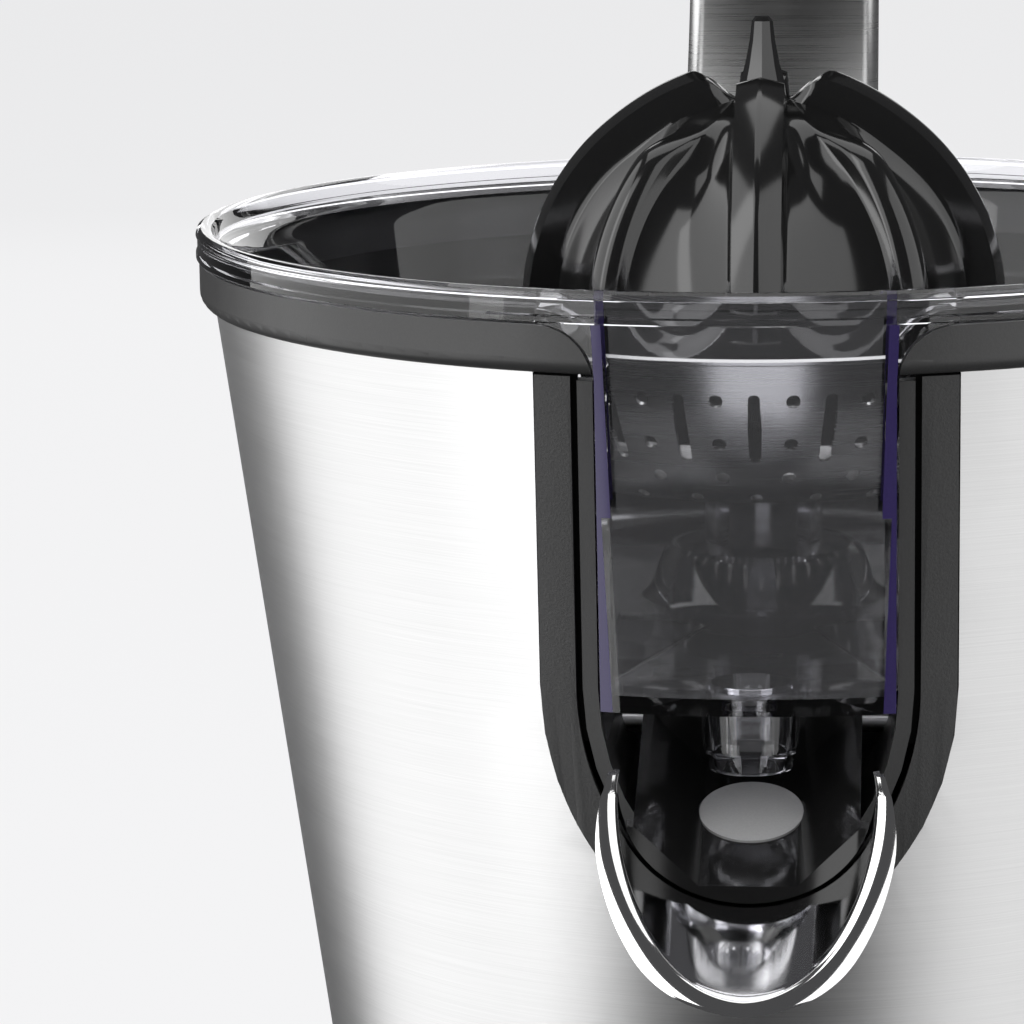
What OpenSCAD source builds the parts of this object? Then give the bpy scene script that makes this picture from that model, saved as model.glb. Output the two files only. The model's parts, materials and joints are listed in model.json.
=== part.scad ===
// Citrus press: a tapered steel body with a windowed juice bowl, a motor-driven reamer, a drip-stop
// spout and a hinged lever arm that carries the press cup. Millimetres, +Z up, front towards -Y.
// The origin is on the drive axis at the height of the table. The arm is drawn raised.

/* [Body] */
// Height of the bowl's rim above the table
rim_z = 235; // [225:1:285]
// Outer radius of the steel skin at its top edge
body_top_r = 92; // [86:0.5:111]
// Outer radius of the steel skin at its bottom edge
body_base_r = 63.5; // [62:0.5:77]
// Thickness of the steel skin
skin_t = 1; // [0.8:0.1:1.2]
// Thickness of the moulded plastic walls
wall_t = 2.5; // [2:0.1:3]

/* [Window] */
// Clear width of the window
window_w = 46; // [40:0.5:50]
// Width of the raised trim around the window
trim_w = 5.6; // [4.5:0.1:6.5]
// Depth of the window's lowest point below the rim
window_drop = 94.5; // [92:0.5:98]

/* [Bowl and sieve] */
// Outer radius of the bowl's rim
rim_r = 95; // [90:0.5:114]
// Height of the clear rim band
rim_h = 5.5; // [4.5:0.1:6.5]
// Depth of the bowl's floor below the rim
bowl_depth = 64; // [62:0.5:66]
// Outer diameter of the juice nozzle
nozzle_d = 15.8; // [14:0.1:17]
// Number of slots around the sieve
sieve_slots = 24; // [20:1:30]

/* [Reamer] */
// Largest radius of the reamer
reamer_r = 40.7; // [34:0.1:44]
// Height of the reamer's nib above the rim
nib_h = 33.5; // [30:0.5:36]

/* [Arm and cup] */
// Width of the lever arm
arm_w = 37; // [31:0.5:44]
// Thickness of the lever arm
arm_t = 14; // [12:0.5:16]
// Angle between the closed and the raised arm
arm_open = 75; // [65:1:78]
// Length of the straight grip
grip_l = 48; // [40:1:58]

/* [Spout] */
// How far the spout droops when it pours
spout_droop = 20; // [17:0.5:21]
// Length of the spout from its pin to its lip
spout_l = 66; // [60:1:70]

/* [Drive] */
// Gear module
gear_m = 1.2; // [1:0.05:1.25]
// Teeth on the motor pinion
pinion_teeth = 12; // [11:1:14]
// Teeth on the idler's large wheel
idler_big_teeth = 44; // [38:1:46]
// Teeth on the idler's small wheel
idler_small_teeth = 14; // [12:1:16]
// Teeth on the output gear
output_teeth = 46; // [40:1:48]
// Radius of the drive spindle
spindle_r = 3; // [2.5:0.1:3.2]
// Radius of the motor can
motor_r = 33; // [27:0.5:34]
// Height of the motor can
motor_h = 66; // [55:1:79]

/* [Fits] */
// Gap under a part that lifts off
seat_gap = 0.2; // [0.1:0.05:0.3]
// Radial clearance of a shaft turning in its bore
run_gap = 0.05; // [0.03:0.01:0.08]
// Gap between neighbouring curved faces
side_gap = 0.4; // [0.3:0.05:0.6]

/* [Hidden] */
$fn = 96;
eps = 0.01;

// Heights of the base and of the body's top edge
foot_h = 3;
plate_h = 3;
ring_h = 8;
lip_h = 4;
skin_low = foot_h + plate_h + ring_h;
collar_h = 7.5;
skin_high = rim_z - rim_h - collar_h;
base_r = body_base_r + 2;
rear_half = 24;
rear_y = body_base_r + 36.5;
base_screw_r = body_base_r - 4;

// Radius of the steel skin at height z
function body_r(z) = body_base_r + (body_top_r - body_base_r) * (z - skin_low) / (skin_high - skin_low);

// Insets of the layers under the skin's outer face
well_out = skin_t + 0.3;
well_in = well_out + 1.7;
bowl_out = well_in + side_gap;
bowl_in = bowl_out + 2.6;
pane_out = 0.5;

// The window: half widths grow from the clear opening to the trim's outer edge
window_half = window_w / 2;
band_w = 2.4;
groove_w = 1;
trim_in = band_w + groove_w;
trim_out = trim_in + trim_w;
arch_spring = rim_z - 63;
arch_low = rim_z - window_drop;
corner_r = 8.5;

// Bowl, deck and nozzle
floor_top = rim_z - bowl_depth;
floor_t = 2.5;
floor_low = floor_top - floor_t;
deck_top = floor_low - 3.5;
deck_t = 2;
deck_low = deck_top - deck_t;
nozzle_r = nozzle_d / 2;
nozzle_y = -(body_r(floor_top) - bowl_in - nozzle_r - 1.2);
nozzle_low = rim_z - 78;
sleeve_r = 5.9;
chimney_gap = 2.2;
chimney_r = sleeve_r + chimney_gap + 1.9;
sieve_low = rim_z - 42.8;
chimney_top = sieve_low - seat_gap;
boss_top = rim_z - 57;
boss_r = 14.3;
boss_foot_r = 17.2;
boss_ribs = 30;
cover_gap = 0.5;
cover_wall = 1.9;

// Sieve profile, as radius inwards from its rim and depth below the bowl's rim
sieve_t = 0.8;
sieve_r = reamer_r + 8.3;
sieve_steps = [[0, 17.5], [2, 24], [5.5, 32], [9, 37.6], [11, 40], [13, 42.8]];

// Reamer
reamer_z = rim_z - 15.2;
reamer_low = rim_z - 36;
peak_z = rim_z + 23.7;
sleeve_top = rim_z - 5;
sleeve_low = rim_z - 56;
hub_r = 9;
flat_half = 2.3;
spindle_top = rim_z - 8;

// Spout
spout_y = nozzle_y + 22;
spout_z = nozzle_low + 2;
spout_pin_r = 1.5;
seal_drop = spout_z - nozzle_low + 0.4;
seal_r = nozzle_r + 0.3;
seal_t = 1.2;
chute_floor = -seal_drop - 0.3;
chute_half = 7.5;
chute_top_half = window_half - 5.7;
chute_rise = 11;
chute_l = 42;
lip_r = window_half - 2.5;
lip_t = 1.2;
lip_z = lip_r - seal_drop - 4.8;
niche_y = spout_y + 6;

// Arm: an arc about a centre below the cup, from the hinge over the bowl to the grip
hinge_y = body_top_r + 16;
hinge_z = rim_z - 9;
arm_c = rim_z - 30;
arm_r = sqrt(pow(hinge_y, 2) + pow(hinge_z - arm_c, 2));
hinge_a = atan2(hinge_z - arm_c, hinge_y);
arm_a0 = hinge_a + 7;
arm_a1 = 122;
arm_out = arm_r + arm_t / 2;
arm_in = arm_r - arm_t / 2;
arm_wall = 1.8;
knuckle_w = 24;
knuckle_r = 9;
hinge_pin_r = 3;
bush_r = 5;
cam_r = 11;
ear_out = arm_w / 2;
cup_r = reamer_r + 9.3;
cup_t = 3;
cup_z = arm_c + arm_in - 7;
cup_c = cup_z - cup_r - 6;
cup_pin_r = 2;
lug_half = 6.5;
yoke_t = 3;

// Bracket behind the body
slot_low = hinge_z - 18;
plunger_r = 2.5;
plunger_top = hinge_z - cam_r - 2.3;
plunger_low = plunger_top - 14;
gland_z = 32;
gland_r = 7;
gland_bore_r = 3.2;
gland_hole_r = 5;

// Gear train: the idler's axis closes the triangle between the motor and the spindle
gear_h = 8;
lid_t = 3;
motor_y = 22;
pair_a = gear_m * (pinion_teeth + idler_big_teeth) / 2;
pair_b = gear_m * (idler_small_teeth + output_teeth) / 2;
idler_y = (pow(pair_b, 2) - pow(pair_a, 2) + pow(motor_y, 2)) / (2 * motor_y);
idler_x = sqrt(pow(pair_b, 2) - pow(idler_y, 2));
lid_low = deck_low - lid_t;
output_z = lid_low - 2 - gear_h;
pinion_z = output_z - 2 - gear_h;
housing_low = pinion_z - 2 - lid_t;
housing_wall = 2.5;
motor_low = housing_low - motor_h;
idler_pin_r = 2.5;
motor_shaft_r = 2.5;
spindle_low = housing_low - 4;
bush_wall = 2.5;
// Angles that bring a tooth of one gear to a gap of the next
idler_a = atan2(idler_y, idler_x);
motor_a = atan2(idler_y - motor_y, idler_x);

// ---- Shared shapes ----

// Solid cone that follows the body's taper, a given inset under the skin's outer face
module taper(z0, z1, inset) {
  translate([0, 0, z0]) cylinder(h = z1 - z0, r1 = body_r(z0) - inset, r2 = body_r(z1) - inset);
}

// Layer of the taper between two insets
module taper_shell(z0, z1, inset_out, inset_in) {
  difference() {
    taper(z0, z1, inset_out);
    taper(z0 - 1, z1 + 1, inset_in);
  }
}

module disc(z0, z1, r) {
  translate([0, 0, z0]) cylinder(h = z1 - z0, r = r);
}

module tube(z0, z1, r_out, r_in) {
  difference() {
    disc(z0, z1, r_out);
    disc(z0 - 1, z1 + 1, r_in);
  }
}

// Box from its two corners
module block(low, high) {
  translate(low) cube(high - low);
}

// Cylinder along X, centred on x = 0
module rod_x(y, z, r, length) {
  translate([0, y, z]) rotate([0, 90, 0]) cylinder(h = length, r = r, center = true);
}

// Arch of the window: straight sides, then half an ellipse. "grow" widens it all round.
function arch_points(grow, top_z) = concat(
  [[window_half + grow, top_z]],
  [for (i = [0:16]) [(window_half + grow) * cos(i * 180 / 16),
                     arch_spring - (arch_spring - arch_low + grow) * sin(i * 180 / 16)]],
  [[-window_half - grow, top_z]]);

// Extrudes an outline drawn in X and Z towards the front, from y = from to y = -length
module forwards(from, length) {
  translate([0, from, 0]) rotate([90, 0, 0]) linear_extrude(length + from) children();
}

// Extrudes an outline drawn in Y and Z to both sides of x = 0
module sideways(width) {
  rotate([90, 0, 90]) linear_extrude(width, center = true) children();
}

// The window's outline where the collar turns down into it, with rounded black corners
module corner_outline(gap) {
  difference() {
    translate([-window_half - corner_r, rim_z - rim_h - corner_r])
      square([window_w + 2 * corner_r, corner_r + 1]);
    for (side = [-1, 1])
      translate([side * (window_half + corner_r), rim_z - rim_h - corner_r]) circle(r = corner_r + gap);
  }
}

// Outline of the base: a round front and a square block for the hinge bracket at the rear
module base_outline(inset) {
  circle(r = base_r - inset);
  translate([inset - rear_half, 0]) square([2 * (rear_half - inset), rear_y - inset]);
}

// Spur gear with straight-flanked teeth; "turn" is the angle of the first tooth
module spur(teeth, height, turn) {
  pitch_r = gear_m * teeth / 2;
  root_r = pitch_r - 1.2 * gear_m;
  tip_r = pitch_r + 0.9 * gear_m;
  rotate([0, 0, turn]) linear_extrude(height) polygon([
    for (i = [0:teeth - 1], p = [[root_r, -0.36], [tip_r, -0.1], [tip_r, 0.1], [root_r, 0.36]])
      p[0] * [cos((i + p[1]) * 360 / teeth), sin((i + p[1]) * 360 / teeth)]]);
}

// Moves what is drawn for the closed arm to the raised arm
module raised() {
  translate([0, hinge_y, hinge_z]) rotate([-arm_open, 0, 0]) translate([0, -hinge_y, -hinge_z]) children();
}

// Part of a ring about the arm's centre, from its section drawn as radius and half width
module arm_sweep(a0, a1) {
  translate([0, 0, arm_c]) rotate([90, 0, 90]) rotate([0, 0, a0]) rotate_extrude(angle = a1 - a0) children();
}

// Straight length that goes on from the end of the arm's arc
module grip_sweep(from, length) {
  translate([0, arm_r * cos(arm_a1), arm_c + arm_r * sin(arm_a1)]) rotate([arm_a1, 0, 0])
    translate([0, 0, from]) linear_extrude(length) children();
}

// Moves what is drawn level, with the pin at the origin, to the drooping spout
module drooping() {
  translate([0, spout_y, spout_z]) rotate([spout_droop, 0, 0]) children();
}

// Small screw with its head down at z = 0
module screw(head_r, head_h, shank_r, length) {
  cylinder(h = head_h, r = head_r);
  cylinder(h = length, r = shank_r);
}

// ---- Base and body ----

module foot_ring() {
  color("#202020") linear_extrude(foot_h) difference() {
    base_outline(3);
    base_outline(9);
  }
}

module at_base_screws() {
  for (a = [30, 150, 225, 315]) rotate([0, 0, a]) translate([base_screw_r, 0]) children();
}

module base_plate() {
  color("#181818") difference() {
    translate([0, 0, foot_h]) linear_extrude(plate_h) base_outline(0);
    translate([0, 0, foot_h]) at_base_screws() screw(3.2, 1.6, 1.9, 10);
    for (x = [-11, 11]) translate([x, bracket_y(foot_h) + 10, 0]) cylinder(h = 10, r = 2.1);
  }
}

module base_screws() {
  color("#9a9a9a") translate([0, 0, foot_h]) at_base_screws() screw(3, 1.5, 1.6, 10);
}

module base_ring() {
  color("#181818") {
    translate([0, 0, foot_h + plate_h]) linear_extrude(ring_h) difference() {
      union() {
        difference() {
          base_outline(0);
          base_outline(4);
        }
        at_base_screws() circle(r = 4.5);
      }
      at_base_screws() circle(r = 1.6);
    }
    difference() {
      tube(skin_low - 1, skin_low + lip_h, base_r - 0.3, body_r(skin_low + lip_h) + 0.2);
      block([-rear_half - 2, 0, skin_low - 2], [rear_half + 2, 2 * base_r, skin_low + lip_h + 1]);
    }
  }
}

module body_skin() {
  color("#c9c9c9") difference() {
    taper_shell(skin_low, skin_high, 0, skin_t);
    forwards(0, 2 * body_top_r) polygon(arch_points(trim_out + 0.2, rim_z));
    translate([0, body_r(60), 60]) rotate([90, 0, 0]) cylinder(h = 20, r = 6, center = true);
  }
}

module window_trim() {
  color("#1c1c1c") intersection() {
    taper_shell(arch_low - trim_out - 1, skin_high - 0.2, -0.8, well_out - 0.05);
    forwards(0, 2 * body_top_r) difference() {
      polygon(arch_points(trim_out, rim_z));
      polygon(arch_points(trim_in, rim_z + 1));
    }
  }
}

// Frame of the window between its clear opening and the groove, from y = from to the front
module frame_outline(from) {
  forwards(from, 2 * body_top_r) difference() {
    polygon(arch_points(band_w, rim_z));
    polygon(arch_points(0, rim_z + 1));
  }
}

module window_frame() {
  arch_foot = arch_low - band_w - 1;
  color("#161616") difference() {
    union() {
      intersection() {
        taper_shell(arch_foot, skin_high - 1, -0.2, well_in);
        frame_outline(0);
      }
      intersection() {
        taper(arch_foot, deck_low - seat_gap, well_out);
        union() {
          frame_outline(niche_y);
          forwards(niche_y + 2, -niche_y) polygon(arch_points(band_w, rim_z));
        }
      }
    }
    rod_x(spout_y, spout_z, spout_pin_r, 2 * window_w);
  }
}

module collar_ring() {
  low = skin_high;
  high = rim_z - rim_h;
  color("#161616") difference() {
    union() {
      disc(low + 2.5, high, rim_r - 0.5);
      disc(low, high, rim_r - 3);
      rotate_extrude() translate([rim_r - 3, low + 2.5]) circle(r = 2.5);
    }
    taper(low - 1, high + 1, well_in);
    forwards(0, 2 * rim_r) corner_outline(0);
    forwards(0, 2 * rim_r) translate([-window_half, low - 5]) square([window_w, 30]);
  }
}

module inner_well() {
  color("#141414") difference() {
    union() {
      taper_shell(deck_low, skin_high, well_out, well_in);
      taper(deck_low, deck_top, well_out);
    }
    forwards(0, 2 * body_top_r) polygon(arch_points(band_w, rim_z));
    disc(deck_low - 1, deck_top + 1, 10);
  }
}

// Radius of the boss's ribs at height z
function boss_at(z) = boss_foot_r + (boss_r - boss_foot_r) * (z - deck_top) / (boss_top - deck_top);

// Solid cone that stands off the boss by a gap
module boss_cone(z0, z1, gap) {
  translate([0, 0, z0]) cylinder(h = z1 - z0, r1 = boss_at(z0) + gap, r2 = boss_at(z1) + gap);
}

module drive_boss() {
  rib_t = 1.3;
  rib_depth = 0.9;
  color("#0c0c0c") difference() {
    union() {
      boss_cone(deck_top, boss_top, -rib_depth);
      disc(deck_low, deck_top + 1, 9.8);
      intersection() {
        boss_cone(deck_top, boss_top, 0);
        for (i = [0:boss_ribs - 1]) rotate([0, 0, i * 360 / boss_ribs])
          block([boss_r - 3, -rib_t / 2, deck_top], [boss_foot_r + 1, rib_t / 2, boss_top]);
      }
    }
    disc(deck_low - 1, boss_top - 3, spindle_r + run_gap + bush_wall);
    disc(boss_top - 4, boss_top + 1, spindle_r + 3);
  }
}

module shaft_seal() {
  color("#2a2a2a") tube(boss_top - 3, boss_top - 0.4, spindle_r + 2.9, spindle_r + 0.1);
}

// ---- Gear case and motor ----

module case_outline(inset) {
  circle(r = gear_m * output_teeth / 2 + 5 - inset);
  translate([idler_x, idler_y]) circle(r = gear_m * idler_big_teeth / 2 + 5 - inset);
  translate([0, motor_y]) circle(r = 16 - inset);
}

module at_gear_screws() {
  for (p = [[-25, 26], [27, -25], [-12, -34.4]]) translate([p[0], p[1], 0]) children();
}

module gear_lid() {
  color("#2b2b2b") difference() {
    translate([0, 0, lid_low]) linear_extrude(lid_t) {
      case_outline(0);
      at_gear_screws() circle(r = 5);
    }
    disc(lid_low - 1, deck_low + 1, spindle_r + run_gap + bush_wall);
    at_gear_screws() disc(lid_low - 1, deck_low + 1, 1.6);
    translate([idler_x, idler_y, lid_low - 1]) cylinder(h = 2.6, r = idler_pin_r);
  }
}

module gear_housing() {
  color("#2b2b2b") difference() {
    translate([0, 0, housing_low]) linear_extrude(lid_low - housing_low) {
      case_outline(0);
      at_gear_screws() circle(r = 5);
    }
    translate([0, 0, housing_low + lid_t]) linear_extrude(lid_low) case_outline(housing_wall);
    disc(housing_low - 1, lid_low, spindle_r + run_gap + bush_wall);
    translate([0, motor_y, housing_low - 1]) cylinder(h = 10, r = motor_shaft_r + 1);
    translate([idler_x, idler_y, housing_low + 0.4]) cylinder(h = 10, r = idler_pin_r);
    at_gear_screws() disc(housing_low - 1, lid_low + 1, 1.6);
  }
}

module gear_screws() {
  color("#9a9a9a") at_gear_screws() translate([0, 0, housing_low - 2]) screw(3.2, 2, 1.6, lid_low - housing_low + 4);
}

module motor_can() {
  top_hole_r = motor_shaft_r + 1;
  color("#a8a8a8") translate([0, motor_y, 0]) difference() {
    disc(motor_low, housing_low, motor_r);
    disc(motor_low + 2, housing_low - 2, motor_r - 1.5);
    disc(housing_low - 3, housing_low + 1, top_hole_r);
    disc(motor_low - 1, motor_low + 3, motor_shaft_r + run_gap);
    translate([0, -motor_y, 0]) disc(spindle_low - 1, housing_low + 1, spindle_r + 2.5);
    translate([0, -motor_y, 0]) at_gear_screws() disc(housing_low - 2.5, housing_low + 1, 4);
  }
}

module motor_stator() {
  color("#7a4a2a") translate([0, motor_y, 0])
    tube(motor_low + 12, housing_low - 22, motor_r - 1.6, motor_r - 11);
}

module motor_rotor() {
  color("#8a8a8a") translate([0, motor_y, 0]) {
    disc(motor_low + 12, housing_low - 22, motor_r - 12);
    disc(motor_low + 0.5, pinion_z + gear_h, motor_shaft_r);
  }
}

module motor_pinion() {
  color("#c8b060") translate([0, motor_y, pinion_z]) difference() {
    spur(pinion_teeth, gear_h, motor_a);
    translate([0, 0, -1]) cylinder(h = gear_h + 2, r = motor_shaft_r);
  }
}

// Each wheel's tooth lies half a pitch from its mate's on the line between their axes
module idler_gear() {
  big_turn = motor_a + 180 + 180 / idler_big_teeth;
  small_turn = idler_a + 180;
  color("#e0dccf") translate([idler_x, idler_y, 0]) difference() {
    union() {
      translate([0, 0, pinion_z]) spur(idler_big_teeth, gear_h - 1, big_turn);
      translate([0, 0, pinion_z]) spur(idler_small_teeth, output_z + gear_h - pinion_z, small_turn);
    }
    translate([0, 0, pinion_z - 1]) cylinder(h = 40, r = idler_pin_r + run_gap);
  }
}

module idler_pin() {
  color("#b0b0b0") translate([idler_x, idler_y, 0]) disc(housing_low + 0.4, lid_low + 1.6, idler_pin_r);
}

module output_gear() {
  color("#e0dccf") translate([0, 0, output_z]) difference() {
    spur(output_teeth, gear_h, idler_a + 180 / output_teeth);
    translate([0, 0, -1]) cylinder(h = gear_h + 2, r = spindle_r);
  }
}

module drive_spindle() {
  color("#b8b8b8") difference() {
    disc(spindle_low, spindle_top, spindle_r);
    for (side = [0, 180]) rotate([0, 0, side])
      block([flat_half, -5, sleeve_low + 14], [10, 5, rim_z]);
  }
}

module spindle_bushes() {
  color("#b58a4a") {
    tube(deck_low - 1, boss_top - 3, spindle_r + run_gap + bush_wall, spindle_r + run_gap);
    tube(housing_low, housing_low + 5, spindle_r + run_gap + bush_wall, spindle_r + run_gap);
  }
}

module spindle_clip() {
  color("#888888") tube(housing_low - 1.4, housing_low - 0.4, spindle_r + 2, spindle_r);
}

// ---- Bowl, sieve and reamer ----

module bowl_outside() {
  taper(floor_low, rim_z - rim_h + seat_gap, bowl_out);
  disc(rim_z - rim_h + seat_gap, rim_z, rim_r);
  translate([0, nozzle_y, nozzle_low]) cylinder(h = floor_top - nozzle_low, r1 = nozzle_r - 0.9, r2 = nozzle_r);
  intersection() {
    taper(floor_low, rim_z - rim_h + 2, pane_out);
    forwards(0, 2 * rim_r) union() {
      polygon(arch_points(-0.3, rim_z));
      corner_outline(0.3);
    }
  }
}

module juice_bowl() {
  color("#dfe6f2", 0.4) {
    difference() {
      bowl_outside();
      taper(floor_top, rim_z + 1, bowl_in);
      disc(floor_low - 1, floor_top + 1, boss_at(floor_low) + 1.1);
      translate([0, nozzle_y, nozzle_low - 1]) cylinder(h = 30, r = nozzle_r - 2.4);
    }
    difference() {
      union() {
        boss_cone(floor_low, boss_top + 2, cover_gap + cover_wall);
        disc(boss_top, chimney_top, chimney_r);
      }
      boss_cone(floor_low - eps, boss_top + 0.5, cover_gap);
      disc(floor_low - 1, chimney_top + 1, sleeve_r + chimney_gap);
    }
  }
}

function sieve_line(inset) = [for (p = sieve_steps) [sieve_r - p[0] - inset, rim_z - p[1]]];

module sieve() {
  slot_w = 2.4;
  outer = sieve_line(0);
  inner = sieve_line(sieve_t);
  color("#c4c4c4") difference() {
    union() {
      rotate_extrude() polygon(concat(outer, [for (i = [len(inner) - 1:-1:0]) inner[i]]));
      rotate_extrude() translate([sieve_r, rim_z - 17.5]) circle(r = 1);
      disc(sieve_low, sieve_low + sieve_t, sieve_r - 13);
      disc(sieve_low, sieve_low + 3, sleeve_r + 4);
      tube(sieve_low - 3, sieve_low + eps, chimney_r + 1.2, chimney_r + side_gap);
    }
    disc(sieve_low - 1, sieve_low + 4, sleeve_r + 0.3);
    for (i = [0:sieve_slots - 1]) rotate([0, 0, i * 360 / sieve_slots]) {
      block([sieve_r - 9, -slot_w / 2, rim_z - 35], [sieve_r + 5, slot_w / 2, rim_z - 21]);
      block([sieve_r - 27, -slot_w / 2, sieve_low - 1], [sieve_r - 17, slot_w / 2, sieve_low + 2]);
    }
  }
}

// Bore with two flats that takes the end of the spindle
module spindle_socket(z0, z1, gap) {
  intersection() {
    disc(z0, z1, spindle_r + gap);
    block([-flat_half - gap, -5, z0], [flat_half + gap, 5, z1]);
  }
}

module drive_sleeve() {
  flange_z = sieve_low + 3 + seat_gap;
  color("#101010") difference() {
    union() {
      disc(sleeve_low, sleeve_top, sleeve_r);
      disc(flange_z, flange_z + 1.6, sleeve_r + 2.5);
      disc(sieve_low - 2.5, sieve_low - 0.5, sleeve_r + 0.8);
      for (a = [0, 90]) rotate([0, 0, a])
        block([-sleeve_r - 1.2, -1.2, sleeve_top - 16], [sleeve_r + 1.2, 1.2, sleeve_top]);
    }
    disc(sleeve_low - 1, sleeve_low + 14, spindle_r + 2 * run_gap);
    spindle_socket(sleeve_low + 13, spindle_top + 1, 2 * run_gap);
  }
}

// One fin: a plate whose edge follows a sphere about the reamer's centre
module fins(count, turn, thick, r, top_z) {
  intersection() {
    translate([0, 0, reamer_z]) sphere(r = r);
    for (i = [0:count - 1]) rotate([0, 0, turn + i * 360 / count])
      block([0, -thick / 2, reamer_low], [reamer_r + 5, thick / 2, top_z]);
  }
}

module reamer() {
  shell_r = reamer_r - 5.5;
  color("#0a0a0a") difference() {
    union() {
      difference() {
        translate([0, 0, reamer_z]) sphere(r = shell_r);
        disc(reamer_z - 2 * reamer_r, reamer_low, 2 * reamer_r);
      }
      fins(4, 0, 6.5, reamer_r, peak_z);
      fins(4, 45, 4, reamer_r - 3, reamer_z + 30);
      difference() {
        disc(reamer_low, reamer_low + 6, reamer_r - 6.5);
        disc(reamer_low - 1, reamer_low + 7, reamer_r - 8.5);
      }
      translate([0, 0, reamer_z + 28]) cylinder(h = rim_z + nib_h - reamer_z - 28, r1 = 5, r2 = 1.6);
    }
    difference() {
      translate([0, 0, reamer_z]) sphere(r = shell_r - 3);
      disc(reamer_low - 10, rim_z + 20, hub_r);
    }
    disc(reamer_z - 2 * reamer_r, reamer_low, 2 * reamer_r);
    disc(reamer_low - 1, sleeve_top + seat_gap, sleeve_r + 0.1);
    for (a = [0, 90]) rotate([0, 0, a])
      block([-sleeve_r - 1.4, -1.4, reamer_low - 1], [sleeve_r + 1.4, 1.4, sleeve_top + seat_gap]);
  }
}

// ---- Hinge bracket, rear cover and switch ----

// Front face of the bracket, which keeps clear of the steel skin
function bracket_y(z) = body_r(z) + 4;

module bracket_side() {
  polygon([[bracket_y(foot_h + plate_h), foot_h + plate_h], [bracket_y(foot_h + plate_h) + 20, foot_h + plate_h],
           [hinge_y + 7, slot_low - 24], [hinge_y + 9, hinge_z], [hinge_y - 8, hinge_z],
           [hinge_y - 8, slot_low - 8], [bracket_y(slot_low - 20), slot_low - 20]]);
}

module hinge_bracket() {
  color("#303030") difference() {
    union() {
      sideways(2 * ear_out) bracket_side();
      rod_x(hinge_y, hinge_z, knuckle_r, 2 * ear_out);
    }
    block([-knuckle_w / 2 - 0.4, hinge_y - 30, slot_low], [knuckle_w / 2 + 0.4, hinge_y + 30, hinge_z + 20]);
    rod_x(hinge_y, hinge_z, hinge_pin_r, arm_w + 10);
    translate([0, hinge_y, plunger_low - 1]) cylinder(h = 60, r = plunger_r + run_gap);
    block([-10.2, hinge_y - 6, plunger_low - 22], [10.2, hinge_y + 30, plunger_low]);
    for (x = [-11, 11]) translate([x, bracket_y(foot_h) + 10, 0]) cylinder(h = 20, r = 1.9);
  }
}

module bracket_screws() {
  color("#9a9a9a") for (x = [-11, 11])
    translate([x, bracket_y(foot_h) + 10, foot_h - 2]) screw(3.2, 2, 1.9, 18);
}

// Side outline of the rear cover, shrunk on its free sides by a wall
module cover_side(inset) {
  polygon([[0, skin_low], [rear_y - inset, skin_low], [hinge_y + 14 - inset, hinge_z - 26],
           [hinge_y + 14 - inset, hinge_z - 10 - inset], [0, hinge_z - 10 - inset]]);
}

module rear_cover() {
  color("#1a1a1a") difference() {
    sideways(2 * rear_half) cover_side(0);
    sideways(2 * (rear_half - wall_t)) translate([0, -eps]) cover_side(wall_t);
    taper(skin_low - 1, skin_high, -side_gap);
    disc(skin_high - 1, rim_z, rim_r + side_gap);
    block([-ear_out - 0.5, hinge_y - 11, hinge_z - 20], [ear_out + 0.5, hinge_y + 11, hinge_z]);
    translate([0, rear_y, gland_z]) rotate([90, 0, 0]) cylinder(h = 30, r = gland_hole_r + 0.1, center = true);
  }
}

module cord_gland() {
  wall_y = rear_y + (hinge_y + 14 - rear_y) * (gland_z - skin_low) / (hinge_z - 26 - skin_low);
  color("#151515") translate([0, wall_y, gland_z]) rotate([90, 0, 0]) difference() {
    union() {
      translate([0, 0, -10]) cylinder(h = 9.2, r1 = gland_r - 2, r2 = gland_r);
      translate([0, 0, -1.5]) cylinder(h = 9, r = gland_hole_r);
    }
    translate([0, 0, -20]) cylinder(h = 40, r = gland_bore_r);
  }
}

module micro_switch() {
  color("#3a3a3a") block([-10, hinge_y - 5.8, plunger_low - 12], [10, hinge_y + 2, plunger_low - 2.4]);
}

module switch_plunger() {
  color("#b03030") {
    translate([0, hinge_y, 0]) disc(plunger_low, plunger_top, plunger_r);
    translate([0, hinge_y, 0]) disc(slot_low + 2.4, plunger_top, plunger_r + 1.2);
  }
}

module hinge_pin() {
  color("#b8b8b8") rod_x(hinge_y, hinge_z, hinge_pin_r, arm_w - 1);
}

module hinge_bushes() {
  bush_l = 8;
  color("#b58a4a") raised() for (side = [-1, 1]) difference() {
    translate([side * (knuckle_w / 2 - bush_l / 2), 0, 0]) rod_x(hinge_y, hinge_z, bush_r, bush_l);
    rod_x(hinge_y, hinge_z, hinge_pin_r + run_gap, arm_w);
  }
}

// ---- Lever arm ----

// Outline of the arm's section: flat inner face at x = arm_in, outer edges cut off
module arm_section(inset, shift) {
  edge = 4 - inset / 2;
  half = arm_w / 2 - inset;
  polygon([[arm_in - shift, -half], [arm_out - inset - edge, -half], [arm_out - inset, edge - half],
           [arm_out - inset, half - edge], [arm_out - inset - edge, half], [arm_in - shift, half]]);
}

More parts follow.
